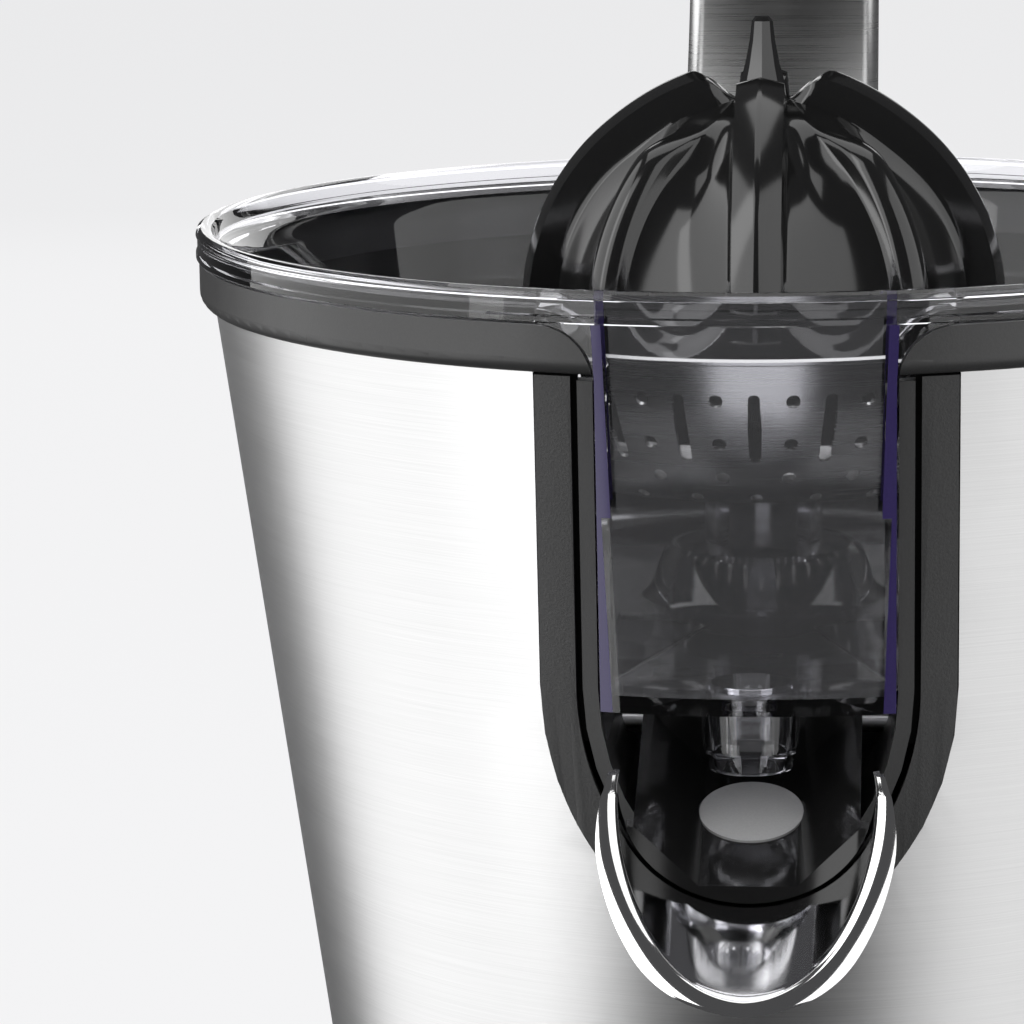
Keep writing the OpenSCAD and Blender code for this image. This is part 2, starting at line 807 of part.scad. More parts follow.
module arm_shell() {
  color("#c9c9c9") raised() difference() {
    union() {
      arm_sweep(arm_a0, arm_a1) arm_section(0, 0);
      arm_sweep(hinge_a, arm_a0 + 0.5) translate([arm_in + 2, -knuckle_w / 2]) square([arm_t - 4, knuckle_w]);
      rod_x(hinge_y, hinge_z, knuckle_r, knuckle_w);
      block([-4, hinge_y - 2.5, hinge_z - cam_r], [4, hinge_y + 2.5, hinge_z]);
    }
    arm_sweep(arm_a0 + 1.2, arm_a1 - 8) arm_section(arm_wall, 1);
    rod_x(hinge_y, hinge_z, hinge_pin_r + 0.5, arm_w);
    for (side = [-1, 1]) translate([side * knuckle_w / 2, 0, 0]) rod_x(hinge_y, hinge_z, bush_r, 16);
    for (a = [arm_a0 + 5, arm_a1 - 5]) translate([0, 0, arm_c]) rotate([a - 90, 0, 0])
      translate([0, 0, arm_in - 2]) cylinder(h = 8, r = 1.5);
  }
}

// Under-plate that closes the hollow arm
module arm_plate() {
  color("#c9c9c9") raised() difference() {
    arm_sweep(arm_a0 + 1.3, arm_a1 - 8.2)
      translate([arm_in, 0.2 + arm_wall - arm_w / 2]) square([1.6, arm_w - 2 * arm_wall - 0.4]);
    rod_x(hinge_y, hinge_z, knuckle_r + 3, arm_w);
    for (side = [-1, 1]) translate([side * 11, 0, cup_z]) cylinder(h = 20, r = 1.7);
  }
}

module arm_screws() {
  color("#9a9a9a") raised() for (side = [-1, 1])
    translate([side * 11, 0, arm_c + arm_in - yoke_t]) screw(2.8, 1.4, 1.6, 10);
}

module arm_grip() {
  color("#1a1a1a") raised() difference() {
    grip_sweep(0, grip_l) translate([-arm_w / 2, -arm_t / 2]) square([arm_w, arm_t]);
    grip_sweep(-1, grip_l + 2) for (side = [-1, 1], face = [-1, 1])
      translate([side * arm_w / 2, face * arm_t / 2]) rotate([0, 0, 45]) square([5, 5], center = true);
  }
}

module cup_yoke() {
  plate_z = arm_c + arm_in - yoke_t;
  color("#8c8c8c") raised() difference() {
    union() {
      block([-15, -8, plate_z], [15, 8, plate_z + yoke_t - 0.6]);
      for (side = [-1, 1]) {
        translate([side * (lug_half + 0.4 + yoke_t / 2), 0, 0]) rod_x(0, cup_z, 5, yoke_t);
        translate([side * (lug_half + 0.4 + yoke_t / 2), 0, 0])
          block([-yoke_t / 2, -5, cup_z], [yoke_t / 2, 5, plate_z + 1]);
      }
    }
    rod_x(0, cup_z, cup_pin_r, arm_w);
    for (side = [-1, 1]) translate([side * 11, 0, plate_z - 1]) cylinder(h = 10, r = 1.7);
    for (side = [-1, 1]) translate([side * 11, 0, plate_z - 1]) cylinder(h = 2.5, r = 3);
  }
}

module cup_pin() {
  color("#b8b8b8") raised() rod_x(0, cup_z, cup_pin_r, 2 * (lug_half + yoke_t + 0.4));
}

module press_cup() {
  rib_r = cup_r - cup_t;
  color("#141414") raised() difference() {
    union() {
      difference() {
        translate([0, 0, cup_c]) sphere(r = cup_r);
        translate([0, 0, cup_c]) sphere(r = rib_r);
      }
      intersection() {
        translate([0, 0, cup_c]) sphere(r = rib_r + 0.5);
        difference() {
          for (i = [0:3]) rotate([0, 0, i * 45])
            block([-cup_r, -1, cup_c], [cup_r, 1, cup_c + cup_r]);
          translate([0, 0, cup_c]) sphere(r = rib_r - 3);
        }
      }
      rod_x(0, cup_z, 4, 2 * lug_half);
      block([-lug_half, -4, cup_c + rib_r + 1], [lug_half, 4, cup_z]);
    }
    disc(cup_c - 2 * cup_r, cup_c, 2 * cup_r);
    rod_x(0, cup_z, cup_pin_r + run_gap, arm_w);
  }
}

// ---- Spout ----

module spout_pin() {
  color("#b8b8b8") rod_x(spout_y, spout_z, spout_pin_r, window_w - 0.4);
}

// Section of the chute in X and Z: a flat floor between two sloping sides, lowered by "drop"
function chute_section(drop, widen) = [
  [-chute_top_half, chute_floor + chute_rise - drop], [-chute_half - widen, chute_floor - drop],
  [chute_half + widen, chute_floor - drop], [chute_top_half, chute_floor + chute_rise - drop]];

module chute_wall() {
  polygon(concat(chute_section(0, 0), [for (i = [3:-1:0]) chute_section(1.8, -0.6)[i]]));
}

module spout_tray() {
  plug_r = lip_r - lip_t - 0.1;
  color("#0a0a0a") drooping() difference() {
    union() {
      forwards(-6.5, chute_l) chute_wall();
      forwards(-6.5, 8.1) polygon(chute_section(1.8, -0.6));
      forwards(2 - chute_l, chute_l) difference() {
        intersection() {
          translate([0, lip_z]) circle(r = plug_r);
          translate([-plug_r, -40]) square([2 * plug_r, 40 + chute_floor + chute_rise]);
        }
        polygon(chute_section(0, 0));
      }
      rod_x(0, 0, 3.4, 30);
      block([-10, -8, chute_floor - 1.8], [10, 0, 0]);
    }
    rod_x(0, 0, spout_pin_r + run_gap, 60);
    translate([0, -22, chute_floor - 0.8]) cylinder(h = 5, r = seal_r + 0.05);
  }
}

module spout_lip() {
  top_back = chute_floor + chute_rise + 2;
  color("#d2d2d2") drooping() difference() {
    forwards(2.5 - chute_l, spout_l) translate([0, lip_z]) circle(r = lip_r);
    forwards(20 - chute_l, spout_l + 1) translate([0, lip_z]) circle(r = lip_r - lip_t);
    sideways(3 * lip_r) polygon([[20, top_back], [-chute_l, top_back], [-spout_l - 2, lip_z - lip_r + 5],
                                 [-spout_l - 20, 60], [20, 60]]);
  }
}

module drip_seal() {
  color("#8a8a88") drooping() translate([0, -22, chute_floor - 0.8]) cylinder(h = seal_t, r = seal_r);
}

foot_ring();
base_plate();
base_screws();
base_ring();
body_skin();
window_trim();
window_frame();
collar_ring();
inner_well();
drive_boss();
shaft_seal();
gear_lid();
gear_housing();
gear_screws();
motor_can();
motor_stator();
motor_rotor();
motor_pinion();
idler_gear();
idler_pin();
output_gear();
drive_spindle();
spindle_bushes();
spindle_clip();
juice_bowl();
sieve();
drive_sleeve();
reamer();
hinge_bracket();
bracket_screws();
rear_cover();
cord_gland();
micro_switch();
switch_plunger();
hinge_pin();
hinge_bushes();
arm_shell();
arm_plate();
arm_screws();
arm_grip();
cup_yoke();
cup_pin();
press_cup();
spout_pin();
spout_tray();
spout_lip();
drip_seal();
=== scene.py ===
"""A lever citrus press in brushed steel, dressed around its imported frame.

Every size is in metres in the frame's own axes: +Z up the drive axis, -Y towards the spout.
Pieces that the frame holds only roughly (reamer, bowl, sieve, window band, scoop, lever arm and
its grip) are modelled here and stand for their nodes; the rest keeps the frame's own shapes.
"""
import json
import math

import bmesh
import bpy
from mathutils import Matrix, Vector


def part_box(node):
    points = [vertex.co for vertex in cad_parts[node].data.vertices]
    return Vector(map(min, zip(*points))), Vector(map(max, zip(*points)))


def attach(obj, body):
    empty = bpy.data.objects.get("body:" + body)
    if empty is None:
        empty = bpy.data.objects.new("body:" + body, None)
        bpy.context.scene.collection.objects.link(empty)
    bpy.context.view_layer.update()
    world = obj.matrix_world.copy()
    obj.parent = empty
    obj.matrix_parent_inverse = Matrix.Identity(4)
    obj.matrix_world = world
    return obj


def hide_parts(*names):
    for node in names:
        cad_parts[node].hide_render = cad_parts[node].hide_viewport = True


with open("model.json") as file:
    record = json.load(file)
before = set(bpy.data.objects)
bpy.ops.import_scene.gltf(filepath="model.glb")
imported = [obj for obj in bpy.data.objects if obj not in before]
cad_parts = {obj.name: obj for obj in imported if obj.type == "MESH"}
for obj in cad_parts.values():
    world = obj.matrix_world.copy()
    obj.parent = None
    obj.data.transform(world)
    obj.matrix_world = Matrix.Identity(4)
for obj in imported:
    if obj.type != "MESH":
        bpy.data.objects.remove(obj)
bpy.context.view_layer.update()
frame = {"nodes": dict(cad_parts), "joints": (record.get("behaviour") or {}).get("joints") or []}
MM = 0.001
JOINTS = {joint["name"]: joint for joint in frame["joints"]}

# ---- Places taken from the frame ----

BOWL_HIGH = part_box("juice_bowl")[1]
RIM_Z = BOWL_HIGH[2]
RIM_R = BOWL_HIGH[0]
SKIN_LOW, SKIN_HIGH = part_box("body_skin")
SKIN_TOP_R = SKIN_HIGH[0]
SKIN_BASE_R = 63.5 * MM
REAMER_LOW, REAMER_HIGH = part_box("reamer")
REAMER_R = REAMER_HIGH[0]
SIEVE_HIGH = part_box("sieve")[1]
SIEVE_R = SIEVE_HIGH[0] - 1 * MM
HINGE = Vector(JOINTS["arm_swing"]["pos_m"])
SPOUT_PIVOT = Vector(JOINTS["spout_tilt"]["pos_m"])
WINDOW_HALF = 23 * MM
ARM_OPEN = math.radians(75)
SPOUT_DROOP = math.radians(20)


def skin_radius(z):
    """Outer radius of the tapered steel skin at height z."""
    share = (z - SKIN_LOW[2]) / (SKIN_HIGH[2] - SKIN_LOW[2])
    return SKIN_BASE_R + (SKIN_TOP_R - SKIN_BASE_R) * share


def below_rim(millimetres):
    """Height that lies so many millimetres under the bowl's rim."""
    return RIM_Z - millimetres * MM


# ---- Modelling ----


def deselect():
    if bpy.context.object and bpy.context.object.mode != "OBJECT":
        bpy.ops.object.mode_set(mode="OBJECT")
    bpy.ops.object.select_all(action="DESELECT")


def make_active(piece):
    deselect()
    piece.select_set(True)
    bpy.context.view_layer.objects.active = piece


def settle(piece, name, soften=40):
    """Names a piece, puts its place into its mesh and shades it smooth below an angle."""
    make_active(piece)
    piece.name = name
    piece.data.name = name
    bpy.ops.object.transform_apply(location=True, rotation=True, scale=True)
    bpy.ops.object.shade_smooth_by_angle(angle=math.radians(soften))
    return piece


def turned(name, profile, segments=192, soften=40):
    """A ring of edges at the first point, extruded and resized from point to point of the profile.

    The profile is a list of (radius, height). A profile that ends where it starts is a closed ring.
    """
    deselect()
    radius, height = profile[0]
    bpy.ops.mesh.primitive_circle_add(vertices=segments, radius=radius, location=(0, 0, height))
    piece = bpy.context.object
    bpy.ops.object.mode_set(mode="EDIT")
    bpy.ops.mesh.select_all(action="SELECT")
    for next_radius, next_height in profile[1:]:
        rise = (0, 0, next_height - height)
        bpy.ops.mesh.extrude_edges_move(TRANSFORM_OT_translate={"value": rise})
        size = next_radius / radius
        bpy.ops.transform.resize(value=(size, size, 1), center_override=(0, 0, next_height))
        radius, height = next_radius, next_height
    bpy.ops.mesh.select_all(action="SELECT")
    bpy.ops.mesh.remove_doubles(threshold=2e-6)
    bpy.ops.mesh.select_non_manifold(extend=False, use_wire=False, use_multi_face=False,
                                     use_non_contiguous=False, use_verts=False)
    if any(vertex.select for vertex in bmesh.from_edit_mesh(piece.data).verts):
        bpy.ops.mesh.fill_holes(sides=0)
    bpy.ops.mesh.select_all(action="SELECT")
    bpy.ops.mesh.normals_make_consistent(inside=False)
    bpy.ops.object.mode_set(mode="OBJECT")
    return settle(piece, name, soften)


def reshape(piece, rule):
    """Moves every vertex of a piece to rule(vertex place)."""
    for vertex in piece.data.vertices:
        vertex.co = rule(vertex.co)
    piece.data.update()


def finish_modifier(piece, kind, **values):
    """Adds a modifier with these values and applies it."""
    make_active(piece)
    modifier = piece.modifiers.new(kind.title(), kind)
    for key, value in values.items():
        setattr(modifier, key, value)
    bpy.ops.object.modifier_apply(modifier=modifier.name)


def carve(piece, cutter):
    """Cuts another piece out of this one and throws the cutter away."""
    finish_modifier(piece, "BOOLEAN", operation="DIFFERENCE", solver="EXACT", object=cutter)
    bpy.data.objects.remove(cutter)


def join(pieces):
    """Joins pieces into the first of them."""
    make_active(pieces[0])
    for piece in pieces[1:]:
        piece.select_set(True)
    bpy.ops.object.join()
    return pieces[0]


def rounded_box(name, low, high, radius, steps=4):
    """A box between two corners, with all its edges rounded."""
    deselect()
    low, high = Vector(low), Vector(high)
    bpy.ops.mesh.primitive_cube_add(size=1, location=(low + high) / 2, scale=high - low)
    piece = settle(bpy.context.object, name)
    finish_modifier(piece, "BEVEL", width=radius, segments=steps, limit_method="NONE")
    return settle(piece, name)


def swept(name, outline, centre, start, angle, steps):
    """A closed outline in the X-Z plane, spun about an X axis through the centre."""
    deselect()
    bpy.ops.mesh.primitive_circle_add(vertices=len(outline), radius=0.01, location=(0, 0, 0))
    piece = bpy.context.object
    for vertex, (across, out) in zip(piece.data.vertices, outline):
        vertex.co = Vector((across, out * math.cos(start), out * math.sin(start)))
        vertex.co += Vector(centre)
    bpy.ops.object.mode_set(mode="EDIT")
    bpy.ops.mesh.select_all(action="SELECT")
    bpy.ops.mesh.edge_face_add()
    bpy.ops.mesh.spin(steps=steps, angle=-angle, center=centre, axis=(1, 0, 0))
    bpy.ops.mesh.edge_face_add()
    bpy.ops.mesh.select_all(action="SELECT")
    bpy.ops.mesh.remove_doubles(threshold=1e-6)
    bpy.ops.mesh.normals_make_consistent(inside=False)
    bpy.ops.object.mode_set(mode="OBJECT")
    return settle(piece, name, 35)


def smooth_step(low, high, value):
    """0 below low, 1 above high and an even curve between them."""
    share = min(1, max(0, (value - low) / (high - low)))
    return share * share * (3 - 2 * share)


# ---- Finishes ----


def effect_group(name, inputs, outputs):
    """An empty shader node group with float or vector inputs and its outputs."""
    group = bpy.data.node_groups.new(name, "ShaderNodeTree")
    group.interface.new_socket("Vector", in_out="INPUT", socket_type="NodeSocketVector")
    for label, value in inputs.items():
        socket = group.interface.new_socket(label, in_out="INPUT", socket_type="NodeSocketFloat")
        socket.default_value = value
    for label in outputs:
        group.interface.new_socket(label, in_out="OUTPUT", socket_type="NodeSocketFloat")
    start = group.nodes.new("NodeGroupInput")
    end = group.nodes.new("NodeGroupOutput")
    return group, start, end


def add_math(tree, operation, first, second=None, third=None):
    node = tree.nodes.new("ShaderNodeMath")
    node.operation = operation
    for socket, value in zip(node.inputs, (first, second, third)):
        if value is None:
            continue
        if isinstance(value, (int, float)):
            socket.default_value = value
        else:
            tree.links.new(value, socket)
    return node.outputs[0]


def add_noise(tree, vector, scale, detail=2, rough=0.5, stretch=(1, 1, 1)):
    """Noise over a vector that is first stretched along its axes."""
    mapping = tree.nodes.new("ShaderNodeMapping")
    mapping.inputs["Scale"].default_value = stretch
    tree.links.new(vector, mapping.inputs["Vector"])
    noise = tree.nodes.new("ShaderNodeTexNoise")
    noise.inputs["Scale"].default_value = scale
    noise.inputs["Detail"].default_value = detail
    noise.inputs["Roughness"].default_value = rough
    tree.links.new(mapping.outputs[0], noise.inputs["Vector"])
    return noise.outputs["Fac"]


def make_brushing():
    """Long thin scratches along the vector's X and Y, with broad uneven patches."""
    tree, start, end = effect_group("brushing", {"Depth": 1.0, "Patches": 1.0}, ["Height", "Rough", "Shade"])
    vector = start.outputs["Vector"]
    fine = add_noise(tree, vector, 1, 3, 0.6, (34, 34, 9000))
    coarse = add_noise(tree, vector, 1, 2, 0.5, (26, 26, 3600))
    patch = add_noise(tree, vector, 14, 2, 0.5, (1, 1, 0.6))
    lines = add_math(tree, "MULTIPLY_ADD", fine, 0.65, add_math(tree, "MULTIPLY", coarse, 0.35))
    tree.links.new(add_math(tree, "MULTIPLY", lines, start.outputs["Depth"]), end.inputs["Height"])
    uneven = add_math(tree, "MULTIPLY", add_math(tree, "SUBTRACT", patch, 0.5), start.outputs["Patches"])
    tree.links.new(add_math(tree, "MULTIPLY_ADD", add_math(tree, "SUBTRACT", lines, 0.5), 0.8, uneven),
                   end.inputs["Rough"])
    tree.links.new(lines, end.inputs["Shade"])
    return tree


def make_moulding():
    """Fine spark-eroded grain of moulded plastic, with faint wiping marks."""
    tree, start, end = effect_group("moulded_grain", {"Grain": 1.0, "Marks": 1.0},
                                    ["Height", "Rough", "Shade"])
    vector = start.outputs["Vector"]
    grain = add_noise(tree, vector, 2600, 2, 0.6)
    pits = add_noise(tree, vector, 900, 1, 0.5)
    marks = add_noise(tree, vector, 45, 4, 0.65, (1, 1.6, 0.7))
    height = add_math(tree, "MULTIPLY_ADD", pits, 0.4, grain)
    tree.links.new(add_math(tree, "MULTIPLY", height, start.outputs["Grain"]), end.inputs["Height"])
    tree.links.new(add_math(tree, "MULTIPLY", add_math(tree, "SUBTRACT", marks, 0.5), start.outputs["Marks"]),
                   end.inputs["Rough"])
    tree.links.new(grain, end.inputs["Shade"])
    return tree


BRUSHING = make_brushing()
MOULDING = make_moulding()


def finish(name, group, colour, colour_to, rough, rough_swing, bump, values, turn=(0, 0, 0), **sockets):
    """A material whose colour, roughness and bump follow a shared effect group."""
    material = bpy.data.materials.new(name)
    material.use_nodes = True
    tree = material.node_tree
    shader = tree.nodes["Principled BSDF"]
    for label, value in sockets.items():
        shader.inputs[label.replace("_", " ")].default_value = value
    place = tree.nodes.new("ShaderNodeTexCoord")
    turned_place = tree.nodes.new("ShaderNodeMapping")
    turned_place.inputs["Rotation"].default_value = turn
    tree.links.new(place.outputs["Object"], turned_place.inputs["Vector"])
    effect = tree.nodes.new("ShaderNodeGroup")
    effect.node_tree = group
    for label, value in values.items():
        effect.inputs[label].default_value = value
    tree.links.new(turned_place.outputs[0], effect.inputs["Vector"])
    mix = tree.nodes.new("ShaderNodeMix")
    mix.data_type = "RGBA"
    mix.inputs["A"].default_value = (*colour, 1)
    mix.inputs["B"].default_value = (*colour_to, 1)
    tree.links.new(effect.outputs["Shade"], mix.inputs["Factor"])
    tree.links.new(mix.outputs["Result"], shader.inputs["Base Color"])
    tree.links.new(add_math(tree, "MULTIPLY_ADD", effect.outputs["Rough"], rough_swing, rough),
                   shader.inputs["Roughness"])
    relief = tree.nodes.new("ShaderNodeBump")
    relief.inputs["Strength"].default_value = bump
    relief.inputs["Distance"].default_value = 0.0001
    tree.links.new(effect.outputs["Height"], relief.inputs["Height"])
    tree.links.new(relief.outputs[0], shader.inputs["Normal"])
    return material


def grey(level):
    return (level, level, level)


def make_finishes():
    """Every finish of the press, by name."""
    return {
        "body_steel": finish("body_steel", BRUSHING, grey(0.42), grey(0.64), 0.33, 0.2, 0.12,
                             {"Depth": 1.0, "Patches": 0.2}, Metallic=1.0, Anisotropic=0.45),
        "arm_steel": finish("arm_steel", BRUSHING, grey(0.50), grey(0.66), 0.30, 0.25, 0.2,
                            {"Depth": 1.0, "Patches": 0.8}, Metallic=1.0, Anisotropic=0.3),
        "sieve_steel": finish("sieve_steel", BRUSHING, grey(0.52), grey(0.70), 0.26, 0.2, 0.15,
                              {"Depth": 0.7, "Patches": 0.6}, Metallic=1.0),
        "polished_steel": finish("polished_steel", BRUSHING, grey(0.78), grey(0.82), 0.07, 0.05, 0.02,
                                 {"Depth": 0.3, "Patches": 0.3}, Metallic=1.0),
        "turned_steel": finish("turned_steel", BRUSHING, grey(0.45), grey(0.6), 0.32, 0.2, 0.2,
                               {"Depth": 1.0, "Patches": 0.5}, Metallic=1.0),
        "black_grained": finish("black_grained", MOULDING, grey(0.012), grey(0.030), 0.52, 0.18, 0.55,
                                {"Grain": 1.0, "Marks": 0.6}, Specular_IOR_Level=0.45),
        "black_moulded": finish("black_moulded", MOULDING, grey(0.014), grey(0.024), 0.42, 0.2, 0.25,
                                {"Grain": 0.7, "Marks": 0.8}, Specular_IOR_Level=0.5),
        "black_inside": finish("black_inside", MOULDING, grey(0.003), grey(0.006), 0.5, 0.15, 0.15,
                               {"Grain": 0.5, "Marks": 0.5}, Specular_IOR_Level=0.2),
        "black_gloss": finish("black_gloss", MOULDING, grey(0.006), grey(0.009), 0.11, 0.10, 0.02,
                              {"Grain": 0.15, "Marks": 0.8}, Specular_IOR_Level=0.6),
        "soft_rubber": finish("soft_rubber", MOULDING, grey(0.018), grey(0.034), 0.72, 0.15, 0.5,
                              {"Grain": 1.0, "Marks": 0.8}, Specular_IOR_Level=0.3),
        "grey_silicone": finish("grey_silicone", MOULDING, grey(0.33), grey(0.40), 0.55, 0.15, 0.25,
                                {"Grain": 0.8, "Marks": 0.8}, Specular_IOR_Level=0.4),
        "painted_casting": finish("painted_casting", MOULDING, grey(0.03), grey(0.05), 0.5, 0.2, 0.6,
                                  {"Grain": 1.0, "Marks": 0.8}, Specular_IOR_Level=0.5),
        "natural_nylon": finish("natural_nylon", MOULDING, (0.68, 0.64, 0.52), (0.74, 0.70, 0.58),
                                0.45, 0.15, 0.2, {"Grain": 0.6, "Marks": 0.8}),
        "bronze": finish("bronze", BRUSHING, (0.48, 0.30, 0.13), (0.62, 0.42, 0.20), 0.38, 0.2, 0.2,
                         {"Depth": 1.0, "Patches": 0.8}, Metallic=1.0),
        "copper_winding": finish("copper_winding", BRUSHING, (0.45, 0.16, 0.06), (0.62, 0.26, 0.1),
                                 0.35, 0.2, 0.9, {"Depth": 1.0, "Patches": 0.8}, Metallic=1.0),
        "switch_red": finish("switch_red", MOULDING, (0.40, 0.03, 0.03), (0.46, 0.05, 0.05), 0.35, 0.15, 0.15,
                             {"Grain": 0.6, "Marks": 0.8}),
        # Opaque dark violet for the pane's side faces: painted refraction, standing in for the dark violet
        # fringe that light gives the clear pane's cut edges.
        "painted_violet_refraction": finish("painted_violet_refraction", MOULDING, (0.018, 0.013, 0.055), (0.026, 0.018, 0.075),
                              0.12, 0.05, 0.02, {"Grain": 0.1, "Marks": 0.5},
                              IOR=1.49, Specular_IOR_Level=0.5),
        "clear_plastic": finish("clear_plastic", MOULDING, (0.93, 0.93, 0.97), (0.96, 0.96, 0.99),
                                0.03, 0.04, 0.01, {"Grain": 0.1, "Marks": 0.5},
                                IOR=1.49, Transmission_Weight=1.0),
    }


FINISH = make_finishes()


def wear(piece, finish_name):
    """Gives a piece one finish all over."""
    piece.data.materials.clear()
    piece.data.materials.append(FINISH[finish_name])


def stand_for(piece, body, finish_name, slot, *nodes):
    """A modelled piece takes the place of frame nodes and rides on their body."""
    wear(piece, finish_name)
    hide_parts(*nodes)
    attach(piece, body)


NODE_FINISHES = {
    "body_steel": ["body_skin"],
    "arm_steel": ["arm_plate", "arm_shell"],
    "sieve_steel": ["sieve"],
    "polished_steel": ["spout_lip"],
    "turned_steel": ["base_screws", "gear_screws", "motor_can", "motor_rotor", "idler_pin", "drive_spindle",
                     "spindle_clip", "bracket_screws", "hinge_pin", "arm_screws", "cup_yoke", "cup_pin",
                     "spout_pin"],
    "black_grained": ["window_trim", "rear_cover", "base_ring"],
    "black_moulded": ["base_plate", "window_frame", "collar_ring", "gear_lid", "gear_housing",
                      "micro_switch"],
    "black_inside": ["inner_well"],
    "black_gloss": ["drive_boss", "drive_sleeve", "reamer", "press_cup", "spout_tray"],
    "soft_rubber": ["foot_ring", "shaft_seal", "cord_gland", "arm_grip"],
    "grey_silicone": ["drip_seal"],
    "painted_casting": ["hinge_bracket"],
    "natural_nylon": ["idler_gear", "output_gear"],
    "bronze": ["motor_pinion", "spindle_bushes", "hinge_bushes"],
    "copper_winding": ["motor_stator"],
    "switch_red": ["switch_plunger"],
    "clear_plastic": ["juice_bowl"],
}
for finish_name, nodes in NODE_FINISHES.items():
    for node in nodes:
        for index in range(len(frame["nodes"][node].material_slots)):
            frame["nodes"][node].material_slots[index].material = FINISH[finish_name]


# ---- Reamer ----

REAMER_MIDDLE_Z = below_rim(15.2)
REAMER_CORE_R = REAMER_R - 6.1 * MM
REAMER_EDGE = 121
REAMER_COLUMNS = 432
# Where a fin's shoulder, a fin's foot and a rib's foot lie between a fin's middle (0) and a rib's middle (1)
SHOULDER, FIN_FOOT, RIB_FOOT = 8 / 54, 12 / 54, 44 / 54


def eased(points, value):
    """Straight-line value between (place, value) points."""
    for (place, amount), (next_place, next_amount) in zip(points, points[1:]):
        if value <= next_place:
            return amount + (next_amount - amount) * max(0, value - place) / (next_place - place)
    return points[-1][1]


def reamer_surface(place):
    """Pushes a plain dome out to the reamer's fins, ribs and hollow flutes."""
    middle = Vector((0, 0, REAMER_MIDDLE_Z))
    ray = place - middle
    length = ray.length
    tilt = math.degrees(math.acos(max(-1, min(1, ray.z / length))))
    bearing = math.degrees(math.atan2(ray.y, ray.x)) % 360
    quarter = round(bearing / 90) * 90
    side = bearing - quarter
    share = min(1, abs(side) / 45)
    around = max(0.5 * MM, length * math.sin(math.radians(tilt)))
    shoulder = min(24, math.degrees(3.5 * MM / around))
    fin_foot = min(31, math.degrees(4.5 * MM / around))
    rib_foot = 45 - min(12, math.degrees(3.5 * MM / around))
    bends = [(0, 0), (SHOULDER, shoulder), (FIN_FOOT, fin_foot), (RIB_FOOT, rib_foot), (1, 45)]
    turned_side = eased(bends, share)
    angle = math.radians(quarter + math.copysign(turned_side, side))
    fin_share = smooth_step(7, 17, tilt) * (1 - 0.5 * smooth_step(98, 121, tilt))
    fin = 6.1 * MM * fin_share * eased([(0, 1), (SHOULDER, 0.80), (FIN_FOOT, 0), (1, 0)], share)
    across_flute = min(1, max(0, (share - FIN_FOOT) / (RIB_FOOT - FIN_FOOT)))
    hollow = math.sin(math.pi * across_flute) ** 0.8
    flute_end = 97 - 9 * (2 * across_flute - 1) ** 2
    flute = -2.6 * MM * hollow * smooth_step(20, 42, tilt) * (1 - smooth_step(flute_end - 7, flute_end, tilt))
    rib_across = (1 - share) / (1 - RIB_FOOT)
    rib_share = smooth_step(24, 46, tilt) * (1 - 0.7 * smooth_step(98, 119, tilt))
    rib = 3.7 * MM * rib_share * math.sqrt(max(0, 1 - rib_across ** 2))
    new_length = REAMER_CORE_R + 0.6 * MM * (1 - smooth_step(10, 40, tilt)) + fin + rib + flute
    new_length += 1.2 * MM * smooth_step(112, 121, tilt)
    flat = new_length * math.sin(math.radians(tilt))
    height = middle.z + new_length * math.cos(math.radians(tilt))
    return Vector((flat * math.cos(angle), flat * math.sin(angle), height))


def make_reamer():
    steps = 96
    profile = []
    for i in range(steps + 1):
        tilt = math.radians(2.2 + (REAMER_EDGE - 2.2) * i / steps)
        profile.append((REAMER_CORE_R * math.sin(tilt), REAMER_MIDDLE_Z + REAMER_CORE_R * math.cos(tilt)))
    inner = REAMER_CORE_R - 4.4 * MM
    for i in range(10):
        tilt = math.radians(REAMER_EDGE - 3 - (REAMER_EDGE - 24) * i / 9)
        profile.append((inner * math.sin(tilt), REAMER_MIDDLE_Z + inner * math.cos(tilt)))
    profile += [(9.2 * MM, profile[-1][1] - 3 * MM), (9 * MM, REAMER_LOW[2]), (6.3 * MM, REAMER_LOW[2]),
                (6.3 * MM, below_rim(4.6)), (0.4 * MM, below_rim(4.6))]
    dome = turned("reamer_dome", profile, REAMER_COLUMNS, 50)
    for vertex in dome.data.vertices[:(steps + 1) * REAMER_COLUMNS]:
        vertex.co = reamer_surface(vertex.co)
    nib_foot = RIM_Z + 18.4 * MM
    nib = turned("reamer_nib", [(4.9 * MM, nib_foot), (4.1 * MM, nib_foot + 2.5 * MM),
                                (2.9 * MM, RIM_Z + 25.4 * MM),
                                (2.1 * MM, RIM_Z + 29.5 * MM), (1.75 * MM, RIM_Z + 32.6 * MM),
                                (1.1 * MM, RIM_Z + 33.4 * MM)], 8, 20)
    reamer = settle(join([dome, nib]), "citrus_reamer", 42)
    stand_for(reamer, "cone", "black_gloss", "black_gloss", "reamer")


# ---- Juice bowl ----

FLOOR_LOW = below_rim(66.5)
FLOOR_TOP = below_rim(64)
BOWL_GAP = 3.4 * MM
BOWL_WALL = 2.6 * MM
CORNER_R = 8.5 * MM
RIM_SHELF = RIM_Z - 5.3 * MM
BOSS_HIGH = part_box("drive_boss")[1]
BOSS_FOOT_R = BOSS_HIGH[0]
BOSS_TOP_R = BOSS_FOOT_R - 2.9 * MM


def pane_radius(z):
    """Outer radius of the window's pane, flush with the rim above and just proud of the skin below."""
    low = skin_radius(FLOOR_LOW) + 0.6 * MM
    return low + (RIM_R - 0.05 * MM - low) * min(1, (z - FLOOR_LOW) / (RIM_SHELF - FLOOR_LOW))


